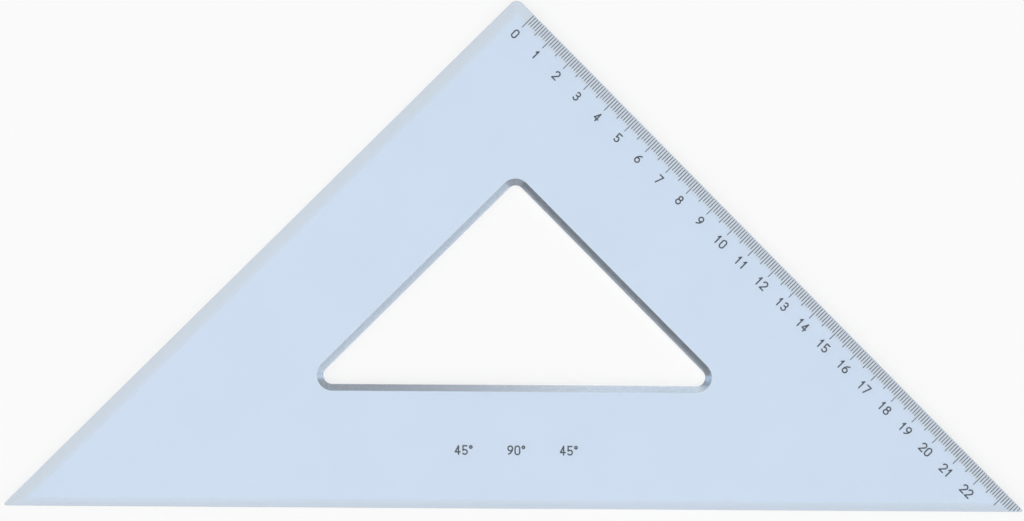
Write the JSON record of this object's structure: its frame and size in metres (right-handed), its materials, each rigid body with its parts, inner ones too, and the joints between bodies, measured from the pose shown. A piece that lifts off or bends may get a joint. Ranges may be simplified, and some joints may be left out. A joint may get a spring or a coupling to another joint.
{
  "type": "drafting triangle",
  "caption": "Flat see-through right-angled isosceles drafting triangle with a triangular window, bevelled edges and a centimetre scale printed along one leg.",
  "frame": {"origin": "under the middle of the plate's box, on the plane of its underside", "axes": "+X along the long edge, +Y from the long edge to the right-angled corner, +Z out of the printed face"},
  "size_m": [0.3486, 0.1738, 0.003],
  "materials": {
    "plate": "polished see-through pale blue plastic",
    "ink": "thin screen-printed dark ink"
  },
  "bodies": {
    "root": {"plate": "plate", "millimetre_ticks": "ink", "half_centimetre_ticks": "ink", "centimetre_ticks": "ink", "numeral_0": "ink", "numeral_1": "ink", "numeral_2": "ink", "numeral_3": "ink", "numeral_4": "ink", "numeral_5": "ink", "numeral_6": "ink", "numeral_7": "ink", "numeral_8": "ink", "numeral_9": "ink", "numeral_10": "ink", "numeral_11": "ink", "numeral_12": "ink", "numeral_13": "ink", "numeral_14": "ink", "numeral_15": "ink", "numeral_16": "ink", "numeral_17": "ink", "numeral_18": "ink", "numeral_19": "ink", "numeral_20": "ink", "numeral_21": "ink", "numeral_22": "ink", "angle_left": "ink", "angle_apex": "ink", "angle_right": "ink"}
  },
  "joints": []
}
